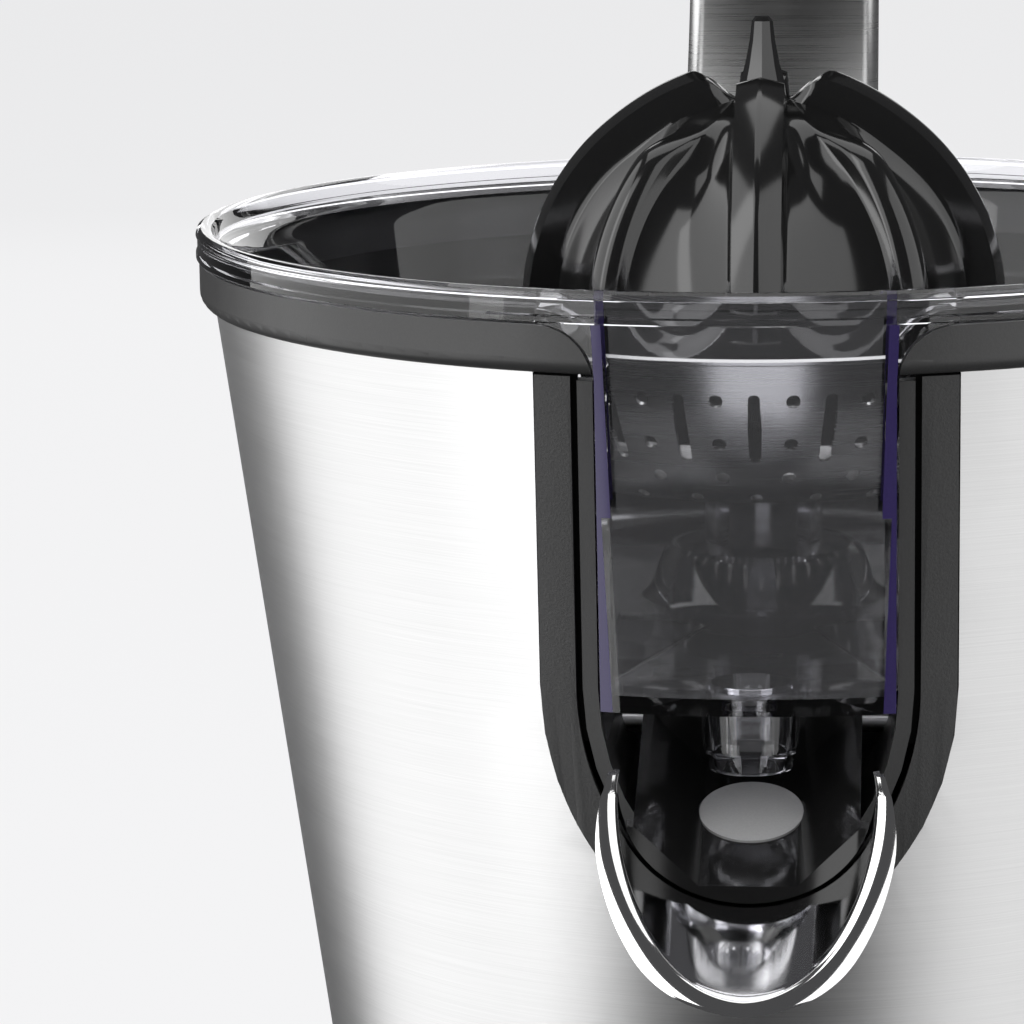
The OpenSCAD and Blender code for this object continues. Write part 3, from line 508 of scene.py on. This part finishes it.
def pane_outline(inset, low, high):
    """Half of the pane's outline in X and Z: straight, then flaring out into the rim's band."""
    half = WINDOW_HALF - 0.35 * MM - inset
    bend = RIM_SHELF - CORNER_R
    points = [(half, low), (half, bend)]
    for i in range(1, 13):
        turn = math.radians(90 * i / 12)
        radius = CORNER_R + inset
        points.append((half + radius - radius * math.cos(turn) , bend + radius * math.sin(turn)))
    points = [point for point in points if point[1] < high - 0.1 * MM]
    return points + [(points[-1][0], high)]


def pane_prism(name, inset, low, high):
    """The pane's outline drawn out towards the front."""
    half = pane_outline(inset, low, high)
    outline = half + [(-across, height) for across, height in reversed(half)]
    deselect()
    bpy.ops.mesh.primitive_circle_add(vertices=len(outline), radius=0.02, fill_type="NGON")
    prism = bpy.context.object
    for vertex, (across, height) in zip(prism.data.vertices, outline):
        vertex.co = (across, -0.06, height)
    bpy.ops.object.mode_set(mode="EDIT")
    bpy.ops.mesh.select_all(action="SELECT")
    bpy.ops.mesh.extrude_region_move(TRANSFORM_OT_translate={"value": (0, -0.06, 0)})
    bpy.ops.mesh.select_all(action="SELECT")
    bpy.ops.mesh.normals_make_consistent(inside=False)
    bpy.ops.object.mode_set(mode="OBJECT")
    return settle(prism, name)


def cone(name, radius_at, low, high, steps=2):
    """A solid turned piece whose radius follows a rule between two heights."""
    heights = [low + (high - low) * i / steps for i in range(steps + 1)]
    profile = [(0.3 * MM, low)] + [(radius_at(z), z) for z in heights] + [(0.3 * MM, high)]
    return turned(name, profile, 384, 30)


def merge(piece, other, operation):
    finish_modifier(piece, "BOOLEAN", operation=operation, solver="EXACT", object=other)
    bpy.data.objects.remove(other)


def bowl_profile():
    """The bowl's section: floor, wall, rim band, inside wall and the hood over the drive boss."""
    profile = [(BOSS_FOOT_R + 1.0 * MM, FLOOR_LOW), (skin_radius(FLOOR_LOW) - BOWL_GAP - 1.4 * MM, FLOOR_LOW),
               (skin_radius(FLOOR_LOW) - BOWL_GAP - 0.4 * MM, FLOOR_LOW + 0.4 * MM)]
    profile += [(skin_radius(z) - BOWL_GAP, z) for z in (FLOOR_LOW + 1.5 * MM, RIM_SHELF - 4 * MM, RIM_SHELF)]
    profile += [(RIM_R - 0.5 * MM, RIM_SHELF), (RIM_R, RIM_SHELF + 0.45 * MM), (RIM_R, RIM_SHELF + 1.2 * MM),
                (RIM_R - 0.25 * MM, RIM_SHELF + 1.5 * MM), (RIM_R - 0.25 * MM, RIM_Z - 1.5 * MM),
                (RIM_R, RIM_Z - 1.2 * MM), (RIM_R - 0.25 * MM, RIM_Z - 0.4 * MM), (RIM_R - 0.9 * MM, RIM_Z),
                (RIM_R - 1.9 * MM, RIM_Z), (RIM_R - 2.6 * MM, RIM_Z - 0.35 * MM),
                (RIM_R - 2.9 * MM, RIM_Z - 1.1 * MM),
                (RIM_R - 3.2 * MM, RIM_Z - 2.2 * MM), (RIM_R - 4.1 * MM, RIM_Z - 3.1 * MM),
                (RIM_R - 6.0 * MM, RIM_Z - 4.1 * MM), (RIM_R - 7.4 * MM, RIM_Z - 5.4 * MM)]
    profile += [(skin_radius(z) - BOWL_GAP - BOWL_WALL, z) for z in (RIM_Z - 8 * MM, FLOOR_TOP + 2.5 * MM)]
    edge = skin_radius(FLOOR_TOP) - BOWL_GAP - BOWL_WALL
    profile += [(edge - 0.6 * MM, FLOOR_TOP + 0.9 * MM), (edge - 2.2 * MM, FLOOR_TOP)]
    hood = BOSS_TOP_R + 2.4 * MM
    profile += [(BOSS_FOOT_R + 3.4 * MM, FLOOR_TOP), (BOSS_FOOT_R + 1.9 * MM, FLOOR_TOP + 1.4 * MM),
                (hood + 0.3 * MM, below_rim(56.5)), (hood - 1.2 * MM, below_rim(55)),
                (10 * MM, below_rim(54.6)),
                (9.9 * MM, below_rim(43.2)), (9.5 * MM, below_rim(43)), (8.1 * MM, below_rim(43)),
                (8.1 * MM, below_rim(56.5)), (hood - 2.0 * MM, below_rim(56.5)),
                (BOSS_FOOT_R + 0.35 * MM, FLOOR_LOW), (BOSS_FOOT_R + 1.0 * MM, FLOOR_LOW)]
    return profile


def make_bowl():
    bowl = turned("bowl_shell", bowl_profile(), 384, 30)
    pane = cone("pane_front", pane_radius, FLOOR_LOW, RIM_SHELF + 1.4 * MM)
    merge(pane, cone("pane_back", lambda z: pane_radius(z) - 9 * MM, FLOOR_LOW - 1 * MM, RIM_Z), "DIFFERENCE")
    merge(pane, pane_prism("pane_sides", 0, FLOOR_LOW - 1 * MM, RIM_Z), "INTERSECT")
    merge(bowl, pane, "UNION")
    room = cone("pane_room", lambda z: pane_radius(z) - BOWL_WALL, FLOOR_TOP + 0.07 * MM, RIM_Z - 0.9 * MM)
    merge(room, cone("room_back", lambda z: pane_radius(z) - 12 * MM, FLOOR_TOP - 1 * MM, RIM_Z + 1 * MM),
          "DIFFERENCE")
    merge(room, pane_prism("room_sides", 2 * MM, FLOOR_TOP - 1 * MM, RIM_Z + 0.7 * MM), "INTERSECT")
    merge(bowl, room, "DIFFERENCE")
    nozzle_y = SPOUT_PIVOT.y - 22 * MM
    nozzle_line = [(6.2 * MM, FLOOR_LOW - 0.05 * MM), (8.0 * MM, FLOOR_LOW - 0.05 * MM),
                   (7.8 * MM, below_rim(69)),
                   (7.5 * MM, below_rim(74.6)), (7.2 * MM, below_rim(75)), (6.9 * MM, below_rim(77.4)),
                   (6.5 * MM, below_rim(78)), (5.7 * MM, below_rim(78)), (5.5 * MM, below_rim(77.5)),
                   (5.9 * MM, below_rim(70)), (6.2 * MM, FLOOR_LOW - 0.05 * MM)]
    nozzle = turned("bowl_nozzle", nozzle_line, 96, 30)
    reshape(nozzle, lambda place: place + Vector((0, nozzle_y, 0)))
    bore = cone("nozzle_bore", lambda z: 6.1 * MM, FLOOR_LOW - 2 * MM, FLOOR_TOP + 2 * MM)
    reshape(bore, lambda place: place + Vector((0, nozzle_y, 0)))
    merge(bowl, bore, "DIFFERENCE")
    bowl = settle(join([bowl, nozzle]), "clear_bowl", 30)
    stand_for(bowl, "bowl", "clear_plastic", "clear_plastic", "juice_bowl")
    # The pane's side faces get a second, opaque dark violet finish: painted refraction on the window's cut
    # edges, not a tint of the plastic.
    bowl.data.materials.append(FINISH["painted_violet_refraction"])
    for face in bowl.data.polygons:
        across, height = abs(face.center.x), face.center.z
        half = WINDOW_HALF - 0.35 * MM
        at_front = face.center.y < 0 and face.center.xy.length > skin_radius(height) - 2.6 * MM
        on_pane = FLOOR_LOW < height < RIM_SHELF - CORNER_R * 0.6
        if at_front and on_pane and half - 1.9 * MM < across < half + 0.1 * MM:
            face.material_index = 1


# ---- Sieve ----

SIEVE_COUNT = 24
SIEVE_LINE = [(0, 17.5), (0.9, 20.5), (2, 24), (3.6, 28), (5.5, 32), (7.2, 35), (9, 37.6), (11, 40),
              (13.5, 41.9), (17, 42.6)]


def make_sieve():
    thick = 0.8 * MM
    outer = [(SIEVE_R - inwards * MM, below_rim(drop)) for inwards, drop in SIEVE_LINE]
    inner = [(radius - thick * 0.9, height + thick * 0.35) for radius, height in reversed(outer)]
    rim = [(SIEVE_R + 0.9 * MM, below_rim(17.2)), (SIEVE_R + 1.0 * MM, below_rim(16.7)),
           (SIEVE_R + 0.3 * MM, below_rim(16.3)), (SIEVE_R - 0.8 * MM, below_rim(16.5))]
    hub_low = below_rim(42.8)
    floor = [(12 * MM, hub_low), (6 * MM, hub_low), (6 * MM, hub_low + 3 * MM), (9.5 * MM, hub_low + 3 * MM),
             (9.8 * MM, hub_low + thick), (SIEVE_R - 17.4 * MM, hub_low + thick)]
    profile = outer + floor + inner + rim[::-1] + [outer[0]]
    sieve = turned("sieve_shell", profile, 240, 35)
    deselect()
    cutters = []
    slope = math.atan2(7.5, 20)
    for number in range(SIEVE_COUNT):
        turn = math.radians(-90 + 360 / SIEVE_COUNT * number)
        cutters.append(slot_cutter(turn, SIEVE_R - 3.5 * MM, below_rim(28.5), 2.2 * MM, 13 * MM, slope))
        cutters.append(slot_cutter(turn, SIEVE_R - 22 * MM, hub_low, 2.2 * MM, 9 * MM, math.pi / 2))
        between = turn + math.radians(180 / SIEVE_COUNT)
        for inwards, drop, size in ((1.8, 23.5, 1.15), (5.0, 31, 1.15), (8.6, 37, 1.15)):
            cutters.append(hole_cutter(between, SIEVE_R - inwards * MM, below_rim(drop), size * MM))
        cutters.append(hole_cutter(turn, SIEVE_R - 12.2 * MM, below_rim(40.9), 1.0 * MM))
    carve(sieve, join(cutters))
    settle(sieve, "steel_sieve", 35)
    stand_for(sieve, "strainer", "sieve_steel", "brushed_steel", "sieve")


def slot_cutter(turn, radius, height, width, length, lean):
    """A round-ended bar across the sieve's wall at a bearing."""
    deselect()
    bpy.ops.mesh.primitive_cylinder_add(vertices=12, radius=width / 2, depth=6 * MM,
                                        rotation=(0, math.pi / 2, 0))
    bar = bpy.context.object
    bpy.ops.object.transform_apply(rotation=True)
    for vertex in bar.data.vertices:
        vertex.co.z += math.copysign((length - width) / 2, vertex.co.z) if abs(vertex.co.z) > 1e-7 else 0
    bar.rotation_euler = (0, lean, turn)
    bar.location = (radius * math.cos(turn), radius * math.sin(turn), height)
    bpy.ops.object.transform_apply(location=True, rotation=True)
    return bar


def hole_cutter(turn, radius, height, hole_radius):
    """A round punch that points outwards and a little down at a bearing."""
    deselect()
    bpy.ops.mesh.primitive_cylinder_add(vertices=16, radius=hole_radius, depth=6 * MM,
                                        location=(radius * math.cos(turn), radius * math.sin(turn), height),
                                        rotation=(0, math.radians(112), turn))
    punch = bpy.context.object
    bpy.ops.object.transform_apply(location=True, rotation=True)
    return punch


# ---- Window surround ----

ARCH_SPRING = below_rim(63)
ARCH_LOW = below_rim(94.5)
TRIM_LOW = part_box("window_trim")[0]


def arch_prism(name, grow, top, depth=0.13):
    """Straight sides and half an ellipse below, drawn out towards the front."""
    half = WINDOW_HALF + grow
    drop = ARCH_SPRING - ARCH_LOW + grow
    turns = [math.pi * i / 64 for i in range(65)]
    outline = [(half, top)]
    outline += [(half * math.cos(turn), ARCH_SPRING - drop * math.sin(turn)) for turn in turns]
    outline.append((-half, top))
    deselect()
    bpy.ops.mesh.primitive_circle_add(vertices=len(outline), radius=0.02, fill_type="NGON")
    prism = bpy.context.object
    for vertex, (across, height) in zip(prism.data.vertices, outline):
        vertex.co = (across, -0.03, height)
    bpy.ops.object.mode_set(mode="EDIT")
    bpy.ops.mesh.select_all(action="SELECT")
    bpy.ops.mesh.extrude_region_move(TRANSFORM_OT_translate={"value": (0, -depth, 0)})
    bpy.ops.mesh.select_all(action="SELECT")
    bpy.ops.mesh.normals_make_consistent(inside=False)
    bpy.ops.object.mode_set(mode="OBJECT")
    return settle(prism, name)


def make_window_trim():
    """The raised grained band round the window, with softened edges."""
    top = SKIN_HIGH[2] - 0.3 * MM
    band = cone("trim_face", lambda z: skin_radius(z) + 0.8 * MM, TRIM_LOW[2] - 2 * MM, top)
    merge(band, cone("trim_back", lambda z: skin_radius(z) - 1.2 * MM, TRIM_LOW[2] - 4 * MM, top + 5 * MM),
          "DIFFERENCE")
    merge(band, arch_prism("trim_outside", 9.0 * MM, RIM_Z), "INTERSECT")
    merge(band, arch_prism("trim_inside", 3.4 * MM, RIM_Z + 2 * MM, 0.14), "DIFFERENCE")
    finish_modifier(band, "BEVEL", width=0.45 * MM, segments=3, limit_method="ANGLE",
                    angle_limit=math.radians(50))
    settle(band, "window_band", 35)
    stand_for(band, "base", "black_grained", "black_matte", "window_trim")


# ---- Scoop ----

SCOOP_R = WINDOW_HALF - 2.5 * MM
SCOOP_AXIS_Z = SCOOP_R - 7.2 * MM
SCOOP_HALF_ARC = 101
SCOOP_BACK = -39.6 * MM
SCOOP_FRONT = -66.5 * MM
SCOOP_SLOPE = 1.22
SCOOP_WALL = 0.9 * MM
ROLL_ROWS = 8
ROLL_TURN = math.radians(105)


def make_scoop():
    """The polished trough at the end of the chute, its front edge rolled outwards."""
    across, along = 97, 26
    deselect()
    bpy.ops.mesh.primitive_grid_add(x_subdivisions=across - 1, y_subdivisions=along - 1, size=2)
    scoop = bpy.context.object
    columns = sorted({round(vertex.co.x, 5) for vertex in scoop.data.vertices})
    rows = sorted({round(vertex.co.y, 5) for vertex in scoop.data.vertices})
    flat_rows = along - 1 - ROLL_ROWS
    for vertex in scoop.data.vertices:
        column = columns.index(round(vertex.co.x, 5)) / (across - 1)
        row = rows.index(round(vertex.co.y, 5))
        angle = math.radians(SCOOP_HALF_ARC * (2 * column - 1))
        side = abs(angle) / math.radians(SCOOP_HALF_ARC)
        rise = SCOOP_R * (1 - math.cos(angle))
        front = min(SCOOP_FRONT + SCOOP_SLOPE * rise + 1.5 * MM * side, SCOOP_BACK - 0.5 * MM)
        place = SCOOP_BACK + (front - SCOOP_BACK) * min(1, row / flat_rows)
        rolled = max(0, row - flat_rows) / ROLL_ROWS
        width = (0.9 + 1.5 * smooth_step(0.05, 0.45, side) - 1.7 * smooth_step(0.72, 1.0, side)) * MM
        turn = rolled * ROLL_TURN
        out = width * (1 - math.cos(turn)) * 0.9
        place -= width * math.sin(turn) * 0.7
        reach = SCOOP_R + out
        vertex.co = (reach * math.sin(angle), place, SCOOP_AXIS_Z - reach * math.cos(angle))
    finish_modifier(scoop, "SOLIDIFY", thickness=SCOOP_WALL, offset=-1)
    make_active(scoop)
    bpy.ops.object.mode_set(mode="EDIT")
    bpy.ops.mesh.select_all(action="SELECT")
    bpy.ops.mesh.normals_make_consistent(inside=False)
    bpy.ops.transform.rotate(value=-SPOUT_DROOP, orient_axis="X", center_override=(0, 0, 0))
    bpy.ops.transform.translate(value=SPOUT_PIVOT)
    bpy.ops.object.mode_set(mode="OBJECT")
    settle(scoop, "polished_scoop", 50)
    stand_for(scoop, "spout", "polished_steel", "polished_steel", "spout_lip")


# ---- Lever arm ----

ARM_MIDDLE = Vector((0, 0, below_rim(30)))
ARM_W, ARM_T = 37 * MM, 14 * MM
ARM_R = math.hypot(HINGE.y, HINGE.z - ARM_MIDDLE.z)
HINGE_ANGLE = math.atan2(HINGE.z - ARM_MIDDLE.z, HINGE.y)
ARM_START = HINGE_ANGLE + math.radians(7)
ARM_END = math.radians(122)
KNUCKLE_W = 23.8 * MM
KNUCKLE_R = 8.9 * MM
GRIP_LENGTH = 47.4 * MM
GRIP_ROUND = 5.2 * MM
GROOVE_DEPTH = 1.5 * MM


def rounded_outline(width, low, high, corner, steps=5):
    """A rectangle with rounded corners, as (across, out) points."""
    points = []
    middle = (low + high) / 2
    for turn, sign_x, sign_y in ((0, 1, 1), (90, -1, 1), (180, -1, -1), (270, 1, -1)):
        for i in range(steps + 1):
            angle = math.radians(turn + 90 * i / steps)
            points.append((sign_x * (width / 2 - corner) + corner * math.cos(angle),
                           middle + sign_y * ((high - low) / 2 - corner) + corner * math.sin(angle)))
    return points


def raise_arm(piece):
    """Turns a piece made for the closed arm up to its raised place."""
    turn = Matrix.Translation(HINGE) @ Matrix.Rotation(-ARM_OPEN, 4, "X") @ Matrix.Translation(-HINGE)
    piece.data.transform(turn)
    piece.data.update()


def make_arm():
    low, high = ARM_R - ARM_T / 2, ARM_R + ARM_T / 2
    beam = swept("arm_beam", rounded_outline(ARM_W, low, high, 3.2 * MM), ARM_MIDDLE, ARM_START,
                 ARM_END - ARM_START, 72)
    finish_modifier(beam, "BEVEL", width=0.8 * MM, segments=3, limit_method="ANGLE",
                    angle_limit=math.radians(60))
    neck = swept("arm_neck", rounded_outline(23.6 * MM, low + 2 * MM, high - 2 * MM, 1.5 * MM), ARM_MIDDLE,
                 HINGE_ANGLE, ARM_START - HINGE_ANGLE + math.radians(1.5), 8)
    deselect()
    bpy.ops.mesh.primitive_cylinder_add(vertices=72, radius=KNUCKLE_R, depth=KNUCKLE_W, location=HINGE,
                                        rotation=(0, math.pi / 2, 0))
    knuckle = settle(bpy.context.object, "arm_knuckle")
    finish_modifier(knuckle, "BEVEL", width=0.6 * MM, segments=3, limit_method="ANGLE",
                    angle_limit=math.radians(60))
    cam = rounded_box("arm_cam", HINGE + Vector((-4 * MM, -2.5 * MM, -10.9 * MM)),
                      HINGE + Vector((4 * MM, 2.5 * MM, 0)), 0.8 * MM, 3)
    arm = join([beam, neck, knuckle, cam])
    raise_arm(arm)
    settle(arm, "lever_arm", 40)
    stand_for(arm, "arm", "arm_steel", "brushed_steel", "arm_shell", "arm_plate")


def make_grip():
    """A soft rounded handle over the arm's end, with shallow finger grooves underneath."""
    end = ARM_MIDDLE + Vector((0, ARM_R * math.cos(ARM_END), ARM_R * math.sin(ARM_END)))
    grip = rounded_box("soft_grip", (-ARM_W / 2, -ARM_T / 2, 0.1 * MM), (ARM_W / 2, ARM_T / 2, GRIP_LENGTH),
                       GRIP_ROUND, 6)
    make_active(grip)
    for height in [3 * MM + 1.5 * MM * i for i in range(29)]:
        bpy.ops.object.mode_set(mode="EDIT")
        bpy.ops.mesh.select_all(action="SELECT")
        bpy.ops.mesh.bisect(plane_co=(0, 0, height), plane_no=(0, 0, 1))
        bpy.ops.object.mode_set(mode="OBJECT")
    for vertex in grip.data.vertices:
        share = vertex.co.z / GRIP_LENGTH
        fade = smooth_step(0.04, 0.2, share) * (1 - smooth_step(0.82, 0.98, share))
        wave = math.sin(math.pi * 4 * share) ** 2 * fade
        if vertex.co.y < 0:
            vertex.co.y += GROOVE_DEPTH * wave
        vertex.co.x *= 1 - 0.05 * math.sin(math.pi * share)
    grip.data.transform(Matrix.Translation(end) @ Matrix.Rotation(ARM_END, 4, "X"))
    raise_arm(grip)
    settle(grip, "arm_handle", 40)
    stand_for(grip, "arm", "soft_rubber", "rubber_black", "arm_grip")


make_window_trim()
make_scoop()
make_arm()
make_grip()
make_reamer()
make_bowl()
make_sieve()


# ---- Stand, light and camera ----


def make_stage():
    deselect()
    bpy.ops.mesh.primitive_plane_add(size=40, location=(0, 0, 0))
    floor = bpy.context.object
    floor.name = "studio_floor"
    material = bpy.data.materials.new("pale_paper")
    material.use_nodes = True
    shader = material.node_tree.nodes["Principled BSDF"]
    shader.inputs["Base Color"].default_value = (0.10, 0.10, 0.10, 1)
    shader.inputs["Roughness"].default_value = 1.0
    shader.inputs["Specular IOR Level"].default_value = 0.0
    shader.inputs["Emission Color"].default_value = (0.99, 0.99, 1.0, 1)
    shader.inputs["Emission Strength"].default_value = 0.78
    floor.data.materials.append(material)
    floor.visible_glossy = False


def add_softbox(name, place, target, size, radiance):
    """A flat lamp of an even radiance that faces the target."""
    data = bpy.data.lights.new(name, "AREA")
    data.shape = "RECTANGLE"
    data.size, data.size_y = size
    data.energy = radiance * math.pi * size[0] * size[1]
    lamp = bpy.data.objects.new(name, data)
    bpy.context.scene.collection.objects.link(lamp)
    lamp.location = place
    lamp.rotation_euler = (Vector(target) - Vector(place)).to_track_quat("-Z", "Y").to_euler()
    return lamp


def around(bearing, distance, height):
    """A place at a bearing that is 0 in front of the press and grows to the right."""
    turn = math.radians(bearing)
    return (distance * math.sin(turn), -distance * math.cos(turn), height)


def make_light():
    """Tall lamps on both sides, one above and one behind; straight ahead stays dark for the window."""
    world = bpy.data.worlds.new("studio")
    bpy.context.scene.world = world
    bpy.context.scene.view_settings.view_transform = "Standard"
    world.use_nodes = True
    tree = world.node_tree
    back = tree.nodes["Background"]
    back.inputs["Color"].default_value = (0.97, 0.97, 1.0, 1)
    path = tree.nodes.new("ShaderNodeLightPath")
    level = add_math(tree, "MULTIPLY_ADD", path.outputs["Is Glossy Ray"], -0.42, 0.50)
    level = add_math(tree, "MULTIPLY_ADD", path.outputs["Is Camera Ray"], 0.37, level)
    tree.links.new(level, back.inputs["Strength"])
    middle = (0, 0, 0.17)
    add_softbox("left_lamp", around(-84, 1.5, 0.35), middle, (2.2, 3.4), 1.9)
    add_softbox("front_left_lamp", around(-43, 1.6, 0.55), middle, (0.8, 3.4), 2.2)
    add_softbox("right_lamp", around(66, 1.5, 0.35), middle, (2.0, 3.4), 1.5)
    add_softbox("top_lamp", (0, 0.25, 1.5), middle, (1.2, 1.0), 1.5)
    add_softbox("back_lamp", around(178, 1.7, 0.7), middle, (1.3, 0.9), 1.5)


def make_camera():
    """The camera stands in front of the rim and a little above it, and looks past it to the left."""
    data = bpy.data.cameras.new("studio_camera")
    data.lens = 166.5
    data.sensor_width = 36
    camera = bpy.data.objects.new("studio_camera", data)
    bpy.context.scene.collection.objects.link(camera)
    rim = Vector((0, 0, RIM_Z))
    distance, turn, rise = 0.797, math.radians(1.716), math.radians(7.029)
    bearing = Vector((math.sin(turn) * math.cos(rise), -math.cos(turn) * math.cos(rise), math.sin(rise)))
    camera.location = rim + distance * bearing
    pan, tilt, roll = math.radians(3.093), math.radians(10.585), math.radians(0.714)
    aim = Matrix.Rotation(turn + pan, 4, "Z") @ Matrix.Rotation(math.pi / 2 - tilt, 4, "X")
    camera.rotation_euler = (aim @ Matrix.Rotation(-roll, 4, "Z")).to_euler()
    data.clip_end = 50
    bpy.context.scene.camera = camera


make_stage()
make_light()
make_camera()
